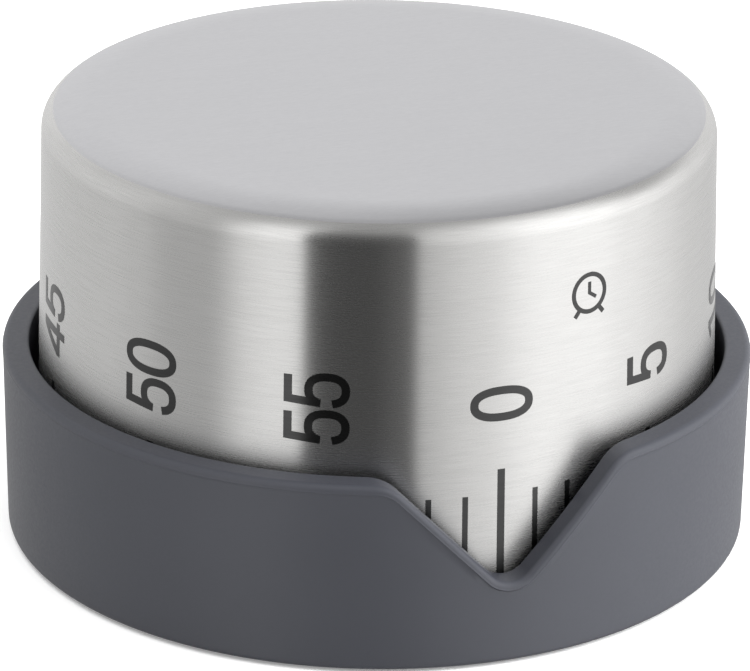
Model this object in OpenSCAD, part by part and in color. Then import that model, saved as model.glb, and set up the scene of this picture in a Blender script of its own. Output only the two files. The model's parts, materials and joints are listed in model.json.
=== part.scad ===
// Mechanical 60-minute kitchen timer: a steel dial cap turning in a plastic base ring,
// over a spring-driven clockwork with a bell. Millimetres, +Z up, the origin under the
// centre of the dial on the surface that the timer stands on. The notch in the ring that
// points at the time faces -Y.

/* [Base] */
// Outer diameter of the base ring at its rim
base_d = 71; // [70.5:0.1:72]
// Height of the ring's rim above the table
rim_z = 18.45; // [18:0.05:19]
// Thickness of the ring at its rim
rim_w = 2.5; // [2.3:0.05:2.6]
// Gap that the rubber feet leave under the ring
foot_gap = 0.25; // [0.2:0.05:0.5]
// Thickness of the base's floor
floor_t = 2; // [1.6:0.1:2.2]

/* [Notch] */
// Height at which the notch's straight flanks would meet
notch_apex_z = 7.1; // [7:0.1:8.5]
// Slope of the notch's flanks
notch_slope = 46; // [42:1:50]
// Radius of the notch's bottom
notch_bottom_r = 2.5; // [1.5:0.1:3]
// Radius of the corners where the notch meets the rim
notch_corner_r = 3.6; // [2:0.1:5]

/* [Dial cap] */
// Height of the whole timer
total_h = 42.1; // [42:0.05:42.5]
// Radius of the cap's top, before its edge is rounded
cap_top_r = 31.45; // [31:0.05:31.5]
// Lean of the cap's side
cap_draft = 1.5; // [1:0.1:2.2]
// Radius of the cap's top edge
cap_edge_r = 2.2; // [2.15:0.05:2.6]
// Radius of the gentle curve in which the cap's top runs out to that edge
crown_r = 15; // [12:0.5:18]
// Slope of the top where that curve meets the rounding of the edge
crown_slope = 14; // [10:1:16]
// Thickness of the cap's steel
cap_t = 0.6; // [0.4:0.05:0.7]
// Height of the cap's lower edge above the table
cap_bottom_z = 6.25; // [6:0.05:6.8]
// Angle that the dial turns through, from 0 to its stop
dial_turn = 356; // [354:0.5:356]

/* [Movement] */
// Height of the bottom plate's lower face
bottom_plate_z = 14; // [14:0.1:14.2]
// Clear height between the two plates
plate_gap = 16; // [16:0.1:16.2]
// Thickness of each plate
plate_t = 1; // [0.9:0.05:1]
// Radius of the plates
plate_r = 28.5; // [28:0.1:29]
// Distance from the dial's axis to the second wheel's and the star wheel's axes
first_centre = 16.8; // [16.8:0.1:17]
// Radius of the dial's arbor
main_r = 2; // [1.8:0.1:2.1]
// Radial play of an arbor in its bearing
bearing_play = 0.05; // [0.03:0.01:0.08]

/* [Gears] */
// Teeth of the great wheel and of the spring barrel's gear
great_teeth = 72; // [68:1:76]
// Leaves of the second pinion, the third pinion and the star pinion
pinion_leaves = 8; // [8:1:9]
// Teeth of the second wheel
second_teeth = 64; // [60:1:66]
// Teeth of the third wheel
third_teeth = 70; // [66:1:72]
// Leaves of the escape pinion
escape_leaves = 7; // [7:1:8]
// Teeth of the escape wheel
escape_teeth = 15; // [13:1:17]
// Teeth of the alarm's star wheel
star_teeth = 12; // [10:1:14]

/* [Bell] */
// Radius of the bell at its rim
bell_r = 20; // [19:0.1:20.2]
// Thickness of the bell
bell_t = 0.8; // [0.6:0.1:1]
// Height of the bell's top face
bell_top_z = 10.9; // [10.7:0.1:11]
// Height of the bell's rim
bell_rim_z = 4.6; // [4.4:0.1:5]

/* [Hidden] */
$fn = 64;
arc_steps = 8;            // straight stretches in a quarter of a rounded edge
eps = 0.01;

// Base
base_r = base_d / 2;
base_draft = 0.2;         // the ring is this much narrower at its foot
base_edge_r = 0.6;        // rounding of the ring's outer edges
rim_inner_r = base_r - rim_w;
rim_inner_edge = 0.3;
skirt_w = 2.2;            // width of the ring's foot
floor_z = foot_gap + 1.05;
floor_top_z = floor_z + floor_t;
boss_at = 26.5;           // distance of the bosses and pillars from the dial's axis
boss_angles = [37, 155, 273];
boss_r = 3.2;
screw_r = 1.25;
screw_play = 0.15;
screw_head_r = 2.3;
screw_head_h = 1.4;
screw_recess_r = 2.6;
screw_seat_z = 4.5;       // underside of the material that the screw heads pull on
pad_r = 4;
pad_at = 25;
pad_angles = [96, 214, 332];

// Plates, pillars and their nuts
plate_low = bottom_plate_z + plate_t;
top_plate_z = plate_low + plate_gap;
top_plate_top = top_plate_z + plate_t;
pillar_r = 1.75;
pillar_stud_r = 1.25;
nut_r = 2.3;
nut_h = 1.5;
bush_r = 3.5;
bush_lip = 0.1;

// Heights of the wheels between the plates, and their thicknesses
wheel_t = 0.8;
thin_t = 0.6;
barrel_gear_z = 15.5;
barrel_top_z = 21.5;
great_z = 22.8;
ratchet_z = great_z + wheel_t + 0.1;
second_z = 25.6;
cam_z = 27.6;
cam_t = 1;
third_z = 28.4;
escape_z = 20.5;
anchor_z = 21.4;
balance_z = 17.8;
star_z = 25.4;
lever_z = 27.8;
pinion_over = 0.4;        // how far a pinion's leaves stand past the wheel that drives it

// Gear modules, from the centre distances
great_m = 2 * first_centre / (great_teeth + pinion_leaves);
second_m = 0.32;
third_m = 0.26;

// Arbors
arbor_r = 0.7;
thin_arbor_r = 0.5;
pivot_r = 0.35;
shoulder_gap = 0.15;      // end play between an arbor's shoulder and a plate

// Where the going train's arbors stand, each from the one before
second_a = 300;
third_at = 17.8;
escape_at = 20.5;
pallet_at = 21;
pallet_centre = 6.5;
second_centre = second_m * (second_teeth + pinion_leaves) / 2;
third_centre = third_m * (third_teeth + escape_leaves) / 2;
third_a = second_a + swing(first_centre, third_at, second_centre);
escape_a = third_a + swing(third_at, escape_at, third_centre);
pallet_a = escape_a + swing(escape_at, pallet_at, pallet_centre);
second_p = polar(first_centre, second_a);
third_p = polar(third_at, third_a);
escape_p = polar(escape_at, escape_a);
pallet_p = polar(pallet_at, pallet_a);

// Escape wheel and pallet
escape_r = 4.5;
escape_root_r = 3.3;
pin_r = 0.2;
pin_gap = 0.15;           // between a pallet pin and the wheel's tips, in the middle position
pin_spread = 1.25 * 360 / escape_teeth;  // each pin's angle from the line of centres
balance_r = 5;

// Alarm
star_a = 230;
star_p = polar(first_centre, star_a);
star_r = 5;
star_root_r = 3.6;
hammer_p = polar(20.2, 208.8);
tail_gap = 0.35;          // from the star wheel's tips, in the rest position
tail_w = 0.7;
head_p = polar(23.9, 187);
head_r = 2.25;
head_z = 6.3;
arm_z = 12.4;
cam_r = 7;
cam_notch_w = 3;
cam_notch_d = 2;
nose_gap = 0.3;
nose_w = 1.2;
detent_p = polar(17, 155);
detent_pin_r = 0.5;
detent_gap = 0.75;        // from the star wheel's tips to the middle of the lever's pin
tail_tip = tangent_point(hammer_p, star_p, star_r + tail_gap);
detent_tip = tangent_point(detent_p, star_p, star_r + detent_gap);
nose_root = foot_of(detent_p, detent_tip);
nose_a = atan2(nose_root[1], nose_root[0]);
spring_post_p = polar(19, 185);

// Barrel and mainspring
drum_r = 11;
drum_t = 0.7;
collar_r = 3;
spring_t = 0.25;
spring_turns = 8;
spring_in = 3.7;
spring_out = drum_r - drum_t - 0.15;
spring_z = 16.8;
spring_h = 4.2;

// Ratchet and click
ratchet_teeth = 20;
ratchet_r = 6;
ratchet_root_r = 5;
click_p = polar(8.8, 47);

// Stop between the dial and the top plate
stop_at = 24;
stop_pin_r = 0.5;
stop_lug_w = 0.6;
stop_lug_z = top_plate_top + 2;
stop_a = 200;
stop_rest_a = stop_a - (360 - dial_turn) / 2;

// Dial carrier
carrier_z = 33.6;
carrier_gap = 0.1;
carrier_t = 1.4;
hub_r = 5;
hub_z = 32.9;
carrier_ribs = 6;

// ---- Geometry helpers ----

function polar(r, a) = [r * cos(a), r * sin(a)];

// Angle at the origin between points at radii a and b that are c apart
function swing(a, b, c) = acos((a * a + b * b - c * c) / (2 * a * b));

// Points along an arc
function arc(c, r, from, to, steps = arc_steps) =
    [for (i = [0:steps]) c + polar(r, from + (to - from) * i / steps)];

// Where a lever pivoting at p touches the circle of radius r about s at right angles
function tangent_point(p, s, r) =
    let (v = s - p, d = norm(v), a = atan2(v[1], v[0]) + asin(r / d))
    p + polar(sqrt(d * d - r * r), a);

// The point of the line through p and q that is nearest to the origin
function foot_of(p, q) =
    let (u = (q - p) / norm(q - p))
    p - u * (p * u);

// Outline of one tooth about angle a: share is the tooth's part of the pitch
function tooth(n, m, a, share, over, under) =
    let (r = n * m / 2, half = 180 * share / n)
    [polar(r - under * m, a - half), polar(r, a - half),
     polar(r + 0.6 * over * m, a - 0.72 * half), polar(r + over * m, a - 0.3 * half),
     polar(r + over * m, a + 0.3 * half), polar(r + 0.6 * over * m, a + 0.72 * half),
     polar(r, a + half), polar(r - under * m, a + half)];

function gear_points(n, m, phase, share, over, under) =
    [for (i = [0:n - 1]) each tooth(n, m, phase + i * 360 / n, share, over, under)];

module wheel_outline(n, m, phase) {
    polygon(gear_points(n, m, phase, 0.42, 1, 1.15));
}

module pinion_outline(n, m, phase) {
    polygon(gear_points(n, m, phase, 0.34, 0.8, 1.3));
}

module at(p, z = 0) {
    translate([p[0], p[1], z]) children();
}

// A flat bar with round ends between two points
module bar(p, q, w) {
    v = q - p;
    translate(p) rotate(atan2(v[1], v[0])) translate([0, -w / 2]) square([norm(v), w]);
    translate(p) circle(w / 2);
    translate(q) circle(w / 2);
}

// Round holes that lighten a wheel
module lightening(count, at_r, hole_r, h) {
    for (i = [0:count - 1])
        at(polar(at_r, (i + 0.5) * 360 / count), -eps) cylinder(r = hole_r, h = h + 2 * eps);
}

// A toothed wheel on its arbor, with lightening holes
module train_wheel(n, m, phase, bore_r, t, holes, hole_at, hole_r) {
    difference() {
        linear_extrude(t) wheel_outline(n, m, phase);
        translate([0, 0, -eps]) cylinder(r = bore_r, h = t + 2 * eps);
        lightening(holes, hole_at, hole_r, t);
    }
}

// An arbor between the plates, with a pivot in each
module plate_arbor(r, from = plate_low + shoulder_gap, to = top_plate_z - shoulder_gap) {
    translate([0, 0, from]) cylinder(r = r, h = to - from);
    translate([0, 0, bottom_plate_z]) cylinder(r = pivot_r, h = top_plate_top - bottom_plate_z);
}

// Phase of a pinion whose space takes the tooth that its wheel points along angle a
function mesh_phase(a, leaves) = a + 180 + 180 / leaves;

function direction(p, q) = atan2(q[1] - p[1], q[0] - p[0]);

module ring(r_out, r_in, z0, z1) {
    translate([0, 0, z0]) difference() {
        cylinder(r = r_out, h = z1 - z0);
        translate([0, 0, -eps]) cylinder(r = r_in, h = z1 - z0 + 2 * eps);
    }
}

module at_bosses() {
    for (a = boss_angles) rotate(a) translate([boss_at, 0, 0]) children();
}

// ---- Base ----

module base_outline() {
    polygon(concat(
        [[0, floor_z], [base_r - base_draft - skirt_w, floor_z],
         [base_r - base_draft - skirt_w, foot_gap]],
        arc([base_r - base_draft - base_edge_r, foot_gap + base_edge_r], base_edge_r, -90, 0),
        arc([base_r - base_edge_r, rim_z - base_edge_r], base_edge_r, 0, 90),
        arc([rim_inner_r + rim_inner_edge, rim_z - rim_inner_edge], rim_inner_edge, 90, 180),
        [[rim_inner_r, floor_top_z], [0, floor_top_z]]));
}

// The notch's opening, seen along Y
module notch_outline() {
    s = notch_slope;
    half_w = (rim_z - notch_apex_z) / tan(s);
    cut = notch_corner_r * tan(s / 2);
    right = concat(
        arc([0, notch_apex_z + notch_bottom_r / cos(s)], notch_bottom_r, -90, -90 + s),
        arc([half_w + cut, rim_z - notch_corner_r], notch_corner_r, 90 + s, 90));
    top = rim_z + 1;
    left = [for (i = [len(right) - 1:-1:1]) [-right[i][0], right[i][1]]];
    polygon(concat(right, [[half_w + cut, top], [-half_w - cut, top]], left));
}

module base_housing() {
    color([0.29, 0.3, 0.31]) difference() {
        union() {
            rotate_extrude($fn = 128) base_outline();
            at_bosses() translate([0, 0, floor_top_z - eps])
                cylinder(r = boss_r, h = bottom_plate_z - floor_top_z + eps);
            translate([0, 0, floor_top_z - eps])
                cylinder(r = 4, h = bell_top_z - bell_t - 0.8 - floor_top_z + eps);
        }
        translate([0, 1 - rim_inner_r + rim_w, 0]) rotate([90, 0, 0])
            linear_extrude(2 * rim_w + 2) notch_outline();
        at_bosses() cylinder(r = screw_r + screw_play, h = bottom_plate_z + 1);
        at_bosses() cylinder(r = screw_recess_r, h = screw_seat_z);
        translate([0, 0, screw_seat_z]) cylinder(r = screw_r, h = bell_top_z);
    }
}

module foot_pads() {
    color([0.12, 0.12, 0.12]) for (a = pad_angles)
        at(polar(pad_at, a)) cylinder(r = pad_r, h = floor_z);
}

module movement_screws() {
    color([0.75, 0.75, 0.76]) at_bosses() difference() {
        union() {
            translate([0, 0, screw_seat_z - screw_head_h])
                cylinder(r = screw_head_r, h = screw_head_h);
            cylinder_from(screw_r, screw_seat_z - eps, plate_low + 4);
        }
        for (a = [0, 90]) rotate(a) translate([-1.4, -0.25, screw_seat_z - screw_head_h - eps])
            cube([2.8, 0.5, 0.7]);
    }
}

module cylinder_from(r, z0, z1) {
    translate([0, 0, z0]) cylinder(r = r, h = z1 - z0);
}

// ---- Movement frame ----

module plate(z, main_hole_r) {
    difference() {
        cylinder_from(plate_r, z, z + plate_t);
        cylinder_from(main_hole_r, z - eps, z + plate_t + eps);
        for (p = [second_p, third_p, escape_p, pallet_p, star_p])
            at(p) cylinder_from(pivot_r + bearing_play, z - eps, z + plate_t + eps);
        children();
    }
}

module bottom_plate() {
    color([0.83, 0.83, 0.8]) plate(bottom_plate_z, bush_r) {
        at_bosses() cylinder_from(screw_r, bottom_plate_z - 1, plate_low + 1);
        at(hammer_p) cylinder_from(arbor_r + bearing_play, bottom_plate_z - 1, plate_low + 1);
    }
}

module top_plate() {
    color([0.83, 0.83, 0.8]) plate(top_plate_z, bush_r) {
        at_bosses() cylinder_from(pillar_stud_r, top_plate_z - 1, top_plate_top + 1);
        at(hammer_p) cylinder_from(pivot_r + bearing_play, top_plate_z - 1, top_plate_top + 1);
        at(detent_p) cylinder_from(0.8, top_plate_z - 1, top_plate_top + 1);
        at(spring_post_p) cylinder_from(0.8, top_plate_z - 1, top_plate_top + 1);
        at(polar(stop_at, stop_a)) cylinder_from(stop_pin_r, top_plate_z - 1, top_plate_top + 1);
    }
}

module plate_pillars() {
    color([0.78, 0.66, 0.38]) at_bosses() difference() {
        union() {
            cylinder_from(pillar_r, plate_low, top_plate_z);
            cylinder_from(pillar_stud_r, top_plate_z - eps, top_plate_top + nut_h);
        }
        cylinder_from(screw_r, plate_low - eps, plate_low + 5);
    }
}

module pillar_nuts() {
    color([0.75, 0.75, 0.76]) at_bosses() difference() {
        translate([0, 0, top_plate_top]) cylinder(r = nut_r, h = nut_h, $fn = 6);
        cylinder_from(pillar_stud_r, top_plate_top - eps, top_plate_top + nut_h + eps);
    }
}

module lower_bush() {
    color([0.8, 0.66, 0.35]) ring(bush_r, main_r + bearing_play, bottom_plate_z - bush_lip,
        plate_low + bush_lip);
}

module upper_bush() {
    color([0.8, 0.66, 0.35]) ring(bush_r, main_r + bearing_play, top_plate_z - bush_lip,
        top_plate_top + 0.5);
}

module stop_pin() {
    color([0.7, 0.7, 0.72]) at(polar(stop_at, stop_a))
        cylinder_from(stop_pin_r, top_plate_z, top_plate_top + 3.6);
}

// ---- Bell ----

module bell() {
    side_r = 6;
    c = [bell_r - side_r, bell_top_z - side_r];
    outer = concat(arc(c, side_r, 0, 90), [[screw_r + screw_play, bell_top_z]]);
    inner = concat([[screw_r + screw_play, bell_top_z - bell_t]],
        arc(c, side_r - bell_t, 90, 0));
    color([0.76, 0.74, 0.7]) rotate_extrude()
        polygon(concat([[bell_r, bell_rim_z]], outer, inner, [[bell_r - bell_t, bell_rim_z]]));
}

module bell_washer() {
    color([0.5, 0.2, 0.12])
        ring(3.5, screw_r + screw_play, bell_top_z - bell_t - 0.8, bell_top_z - bell_t);
}

module bell_screw() {
    color([0.75, 0.75, 0.76]) difference() {
        union() {
            cylinder_from(screw_r, screw_seat_z + 0.4, bell_top_z + eps);
            cylinder_from(3, bell_top_z, bell_top_z + 1.2);
        }
        translate([-3, -0.3, bell_top_z + 0.6]) cube([6, 0.6, 1]);
    }
}

// ---- Dial ----

function cap_r(z) = cap_top_r + (total_h - z) * tan(cap_draft);

// The cap's outer face from its lower edge to its middle, moved inwards by d
function cap_face(z0, d) =
    let (join = 90 - crown_slope,
         c_z = total_h - cap_edge_r - (crown_r - cap_edge_r) * (1 - cos(crown_slope)),
         c = [cap_r(c_z) - cap_edge_r / cos(cap_draft), c_z],
         crown_c = c - polar(crown_r - cap_edge_r, join),
         crown = arc(crown_c, crown_r - d, join, 90))
    concat([[cap_r(z0) - d / cos(cap_draft), z0]], arc(c, cap_edge_r - d, cap_draft, join),
        [for (i = [1:len(crown) - 1]) crown[i]], [[0, total_h - d]]);

function backwards(v) = [for (i = [len(v) - 1:-1:0]) v[i]];

module steel_cap() {
    color([0.78, 0.78, 0.78]) rotate_extrude($fn = 128)
        polygon(concat(cap_face(cap_bottom_z, 0), backwards(cap_face(cap_bottom_z, cap_t))));
}

module dial_carrier() {
    outer = cap_face(carrier_z, cap_t + carrier_gap);
    inner = cap_face(carrier_z, cap_t + carrier_gap + carrier_t);
    disc_z = total_h - cap_t - carrier_gap - carrier_t;
    rib_z = 37;
    color([0.92, 0.92, 0.9]) difference() {
        union() {
            rotate_extrude($fn = 128) polygon(concat(outer, backwards(inner)));
            cylinder_from(hub_r, hub_z, disc_z + eps);
            for (i = [0:carrier_ribs - 1]) rotate(i * 360 / carrier_ribs)
                translate([hub_r - 0.5, -0.7, rib_z]) cube([24, 1.4, disc_z - rib_z + eps]);
            rotate(stop_rest_a) translate([stop_at - 1.5, -stop_lug_w / 2, stop_lug_z])
                cube([6.4, stop_lug_w, disc_z - stop_lug_z + eps]);
        }
        difference() {
            cylinder_from(main_r, hub_z - 1, 38.5);
            translate([main_r - 0.5, -5, 0]) cube([5, 10, 50]);
        }
    }
}

module main_arbor() {
    color([0.72, 0.73, 0.75]) difference() {
        union() {
            cylinder_from(main_r, 12.9, 38.5);
            cylinder_from(collar_r, spring_z, spring_z + spring_h + 0.3);
        }
        ring(main_r + 1, main_r - 0.5, 13.1, 13.7);
        translate([main_r - 0.5, -5, hub_z]) cube([5, 10, 50]);
    }
}

module arbor_clip() {
    color([0.35, 0.36, 0.38]) difference() {
        ring(3.3, main_r - 0.5, 13.15, 13.65);
        translate([0, -0.9, 13]) cube([5, 1.8, 1]);
    }
}

module great_wheel() {
    color([0.82, 0.68, 0.34]) translate([0, 0, great_z])
        train_wheel(great_teeth, great_m, second_a, main_r, wheel_t, 5, 11.6, 2);
}

module ratchet_wheel() {
    pitch = 360 / ratchet_teeth;
    color([0.7, 0.71, 0.73]) translate([0, 0, ratchet_z]) difference() {
        linear_extrude(wheel_t) polygon([for (i = [0:ratchet_teeth - 1])
            each [polar(ratchet_r, i * pitch), polar(ratchet_root_r, i * pitch + 0.01)]]);
        translate([0, 0, -eps]) cylinder(r = main_r, h = wheel_t + 2 * eps);
    }
}

module click_stud() {
    color([0.72, 0.73, 0.75]) at(click_p) {
        cylinder_from(0.6, great_z + wheel_t, ratchet_z + wheel_t + 0.1);
        cylinder_from(1.1, ratchet_z + wheel_t + 0.1, ratchet_z + wheel_t + 0.4);
    }
}

// A leaf that keeps the click on the ratchet wheel, held by a block on the great wheel
module click_spring() {
    root = polar(12.2, 30);
    color([0.6, 0.62, 0.66]) translate([0, 0, great_z + wheel_t]) linear_extrude(wheel_t) {
        bar(root, polar(8.6, 8), 0.25);
        translate(root) circle(1);
    }
}

module click() {
    color([0.72, 0.73, 0.75]) translate([0, 0, ratchet_z]) difference() {
        union() {
            linear_extrude(wheel_t) polygon([polar(5.35, 1.8), polar(6.3, 17), polar(7.6, 53),
                polar(9.8, 53), polar(10, 46), polar(7.3, 4)]);
            at(click_p) cylinder(r = 1.5, h = wheel_t);
        }
        at(click_p, -eps) cylinder(r = 0.6 + bearing_play, h = wheel_t + 2 * eps);
    }
}

module alarm_cam() {
    color([0.8, 0.66, 0.35]) translate([0, 0, cam_z]) difference() {
        cylinder(r = cam_r, h = cam_t);
        translate([0, 0, -eps]) cylinder(r = main_r, h = cam_t + 2 * eps);
        rotate(nose_a) translate([cam_r - cam_notch_d, -cam_notch_w / 2, -eps])
            cube([5, cam_notch_w, cam_t + 2 * eps]);
    }
}

// ---- Barrel and mainspring ----

module spring_barrel() {
    color([0.84, 0.7, 0.36]) difference() {
        union() {
            translate([0, 0, barrel_gear_z]) linear_extrude(wheel_t)
                wheel_outline(great_teeth, great_m, star_a);
            cylinder_from(drum_r, barrel_gear_z, barrel_top_z);
        }
        cylinder_from(drum_r - drum_t, barrel_gear_z + wheel_t, barrel_top_z + 1);
        cylinder_from(main_r + bearing_play, barrel_gear_z - 1, barrel_top_z);
    }
}

module barrel_cover() {
    color([0.84, 0.7, 0.36])
        ring(drum_r, main_r + bearing_play, barrel_top_z, barrel_top_z + thin_t);
}

// The wound strip: out along one face of the spiral and back along the other
module mainspring() {
    steps = 18 * spring_turns;
    grow = (spring_out - spring_in) / steps;
    outside = [for (i = [0:steps]) polar(spring_in + i * grow, i * 20)];
    inside = [for (i = [steps:-1:0]) polar(spring_in + i * grow - spring_t, i * 20)];
    color([0.42, 0.45, 0.5]) translate([0, 0, spring_z]) linear_extrude(spring_h)
        polygon(concat(outside, inside));
}

// ---- Going train ----

module pinion(p, n, m, phase, r, z, t) {
    at(p) {
        plate_arbor(r);
        translate([0, 0, z - pinion_over]) linear_extrude(t + 2 * pinion_over)
            pinion_outline(n, m, phase);
    }
}

module second_wheel() {
    color([0.82, 0.68, 0.34]) at(second_p, second_z)
        train_wheel(second_teeth, second_m, direction(second_p, third_p), arbor_r, thin_t,
            5, 6.2, 2);
}

module second_pinion() {
    color([0.72, 0.73, 0.75]) pinion(second_p, pinion_leaves, great_m,
        mesh_phase(second_a, pinion_leaves), arbor_r, great_z, wheel_t);
}

module third_wheel() {
    color([0.82, 0.68, 0.34]) at(third_p, third_z)
        train_wheel(third_teeth, third_m, direction(third_p, escape_p), arbor_r, thin_t,
            5, 5.4, 1.8);
}

module third_pinion() {
    color([0.72, 0.73, 0.75]) pinion(third_p, pinion_leaves, second_m,
        mesh_phase(direction(second_p, third_p), pinion_leaves), arbor_r, second_z, thin_t);
}

// A wheel of pointed teeth, for the escapement and for the alarm
module pointed_wheel(n, r, root_r, phase, bore_r, t) {
    pitch = 360 / n;
    difference() {
        linear_extrude(t) polygon([for (i = [0:n - 1])
            let (a = phase + i * pitch)
            each [polar(root_r, a - 0.3 * pitch), polar(r, a - 0.04 * pitch),
                  polar(r, a + 0.04 * pitch), polar(root_r, a + 0.3 * pitch)]]);
        translate([0, 0, -eps]) cylinder(r = bore_r, h = t + 2 * eps);
    }
}

module escape_wheel() {
    color([0.82, 0.68, 0.34]) at(escape_p, escape_z)
        pointed_wheel(escape_teeth, escape_r, escape_root_r, direction(escape_p, pallet_p),
            thin_arbor_r, thin_t);
}

module escape_pinion() {
    color([0.72, 0.73, 0.75]) pinion(escape_p, escape_leaves, third_m,
        mesh_phase(direction(third_p, escape_p), escape_leaves), thin_arbor_r, third_z, thin_t);
}

pin_points = [for (side = [-1, 1])
    escape_p + polar(escape_r + pin_gap + pin_r, direction(escape_p, pallet_p) + side * pin_spread)];

module pallet_anchor() {
    color([0.72, 0.73, 0.75]) translate([0, 0, anchor_z]) difference() {
        linear_extrude(thin_t) {
            for (p = pin_points) bar(pallet_p, p, 1);
            translate(pallet_p) circle(1.5);
        }
        at(pallet_p, -eps) cylinder(r = thin_arbor_r, h = 2);
    }
}

module pallet_pins() {
    color([0.8, 0.81, 0.83]) for (p = pin_points)
        at(p) cylinder_from(pin_r, escape_z - 0.3, anchor_z);
}

module pallet_arbor() {
    color([0.72, 0.73, 0.75]) at(pallet_p) plate_arbor(thin_arbor_r);
}

module balance_wheel() {
    color([0.82, 0.68, 0.34]) at(pallet_p) difference() {
        union() {
            ring(balance_r, balance_r - 1.3, balance_z, balance_z + 1);
            ring(1.3, thin_arbor_r, balance_z, balance_z + 1);
            translate([-balance_r + 1, -0.5, balance_z]) cube([2 * balance_r - 2, 1, 1]);
        }
        cylinder_from(thin_arbor_r, balance_z - 1, balance_z + 2);
    }
}

// ---- Alarm ----

module star_wheel() {
    color([0.72, 0.73, 0.75]) at(star_p, star_z)
        pointed_wheel(star_teeth, star_r, star_root_r,
            direction(star_p, detent_tip) + 180 / star_teeth, arbor_r, thin_t);
}

module star_pinion() {
    color([0.72, 0.73, 0.75]) pinion(star_p, pinion_leaves, great_m,
        mesh_phase(star_a, pinion_leaves), arbor_r, barrel_gear_z, wheel_t - 0.1);
}

module hammer_arbor() {
    color([0.72, 0.73, 0.75]) at(hammer_p) {
        cylinder_from(arbor_r, arm_z - 0.1, top_plate_z - shoulder_gap);
        cylinder_from(pivot_r, top_plate_z - 1, top_plate_top);
    }
}

module hammer_tail() {
    color([0.72, 0.73, 0.75]) translate([0, 0, star_z]) difference() {
        linear_extrude(thin_t) {
            bar(hammer_p, tail_tip + (hammer_p - tail_tip) * 0.05
                + (tail_tip - star_p) / norm(tail_tip - star_p) * tail_w / 2, tail_w);
            translate(hammer_p) circle(1.6);
        }
        at(hammer_p, -eps) cylinder(r = arbor_r, h = 2);
    }
}

module hammer_arm() {
    color([0.72, 0.73, 0.75]) translate([0, 0, arm_z]) difference() {
        linear_extrude(wheel_t) {
            bar(hammer_p, head_p, 2);
            translate(hammer_p) circle(1.8);
        }
        at(hammer_p, -1) cylinder(r = arbor_r, h = 3);
    }
}

module hammer_head() {
    color([0.8, 0.66, 0.35]) at(head_p) cylinder_from(head_r, head_z, arm_z);
}

module detent_lever() {
    nose_tip = polar(cam_r + nose_gap + nose_w / 2, nose_a);
    color([0.78, 0.78, 0.76]) difference() {
        union() {
            translate([0, 0, lever_z]) linear_extrude(thin_t) {
                bar(detent_p, detent_tip, 1.6);
                bar(nose_root, nose_tip, nose_w);
                translate(detent_p) circle(2);
            }
            at(detent_tip) cylinder_from(detent_pin_r, star_z - 0.2, lever_z + eps);
        }
        at(detent_p) cylinder_from(0.8 + bearing_play, lever_z - 1, lever_z + 2);
    }
}

module detent_stud() {
    color([0.8, 0.66, 0.35]) at(detent_p) {
        cylinder_from(1.6, lever_z - 0.7, lever_z - 0.2);
        cylinder_from(0.8, lever_z - 0.3, top_plate_top);
        cylinder_from(1.6, lever_z + thin_t + 0.2, top_plate_z);
    }
}

module spring_post() {
    color([0.8, 0.66, 0.35]) at(spring_post_p) {
        cylinder_from(1, lever_z - 0.4, top_plate_z);
        cylinder_from(0.8, top_plate_z - eps, top_plate_top);
    }
}

// A leaf from its post to the lever's outer side
module detent_spring() {
    color([0.6, 0.62, 0.66]) translate([0, 0, lever_z - 0.1]) difference() {
        linear_extrude(wheel_t) {
            bar(spring_post_p, polar(12.3, 200), 0.3);
            translate(spring_post_p) circle(1.4);
        }
        at(spring_post_p, -eps) cylinder(r = 1, h = 2);
    }
}

base_housing();
foot_pads();
movement_screws();
bottom_plate();
top_plate();
plate_pillars();
pillar_nuts();
lower_bush();
upper_bush();
stop_pin();
bell();
bell_washer();
bell_screw();
detent_stud();
detent_spring();
spring_post();
steel_cap();
dial_carrier();
main_arbor();
arbor_clip();
great_wheel();
ratchet_wheel();
click_stud();
click_spring();
alarm_cam();
click();
spring_barrel();
barrel_cover();
mainspring();
second_wheel();
second_pinion();
third_wheel();
third_pinion();
escape_wheel();
escape_pinion();
pallet_anchor();
pallet_pins();
pallet_arbor();
balance_wheel();
star_wheel();
star_pinion();
hammer_arbor();
hammer_tail();
hammer_arm();
hammer_head();
detent_lever();
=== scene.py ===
"""Kitchen timer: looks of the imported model, in metres, in the row frame."""

import json
import math

import bmesh
import bpy
from mathutils import Matrix, Vector
from mathutils.geometry import delaunay_2d_cdt


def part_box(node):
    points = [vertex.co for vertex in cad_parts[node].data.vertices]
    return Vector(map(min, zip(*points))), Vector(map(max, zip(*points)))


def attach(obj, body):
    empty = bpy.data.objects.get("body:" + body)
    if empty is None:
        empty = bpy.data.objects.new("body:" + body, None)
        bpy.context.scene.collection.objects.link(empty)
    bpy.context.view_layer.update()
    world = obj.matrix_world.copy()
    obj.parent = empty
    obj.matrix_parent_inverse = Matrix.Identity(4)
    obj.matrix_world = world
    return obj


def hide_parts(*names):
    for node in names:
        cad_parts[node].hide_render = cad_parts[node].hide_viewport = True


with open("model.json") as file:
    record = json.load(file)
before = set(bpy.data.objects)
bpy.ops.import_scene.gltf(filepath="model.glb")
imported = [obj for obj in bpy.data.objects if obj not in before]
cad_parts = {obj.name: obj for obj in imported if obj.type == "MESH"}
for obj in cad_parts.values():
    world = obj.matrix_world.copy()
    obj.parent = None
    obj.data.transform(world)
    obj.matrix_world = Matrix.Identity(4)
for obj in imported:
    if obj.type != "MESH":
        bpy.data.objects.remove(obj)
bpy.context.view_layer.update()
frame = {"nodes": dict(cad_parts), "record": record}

MM = 0.001

# Where the photograph was taken from
CAMERA_AZIMUTH = math.radians(-20.5)
CAMERA_ELEVATION = math.radians(22.8)
CAMERA_DISTANCE = 440 * MM
CAMERA_TARGET = Vector((-0.16, 0.06, 18.08)) * MM
CAMERA_ROLL = math.radians(0.67)
LENS = 221.9
SENSOR = 36

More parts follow.
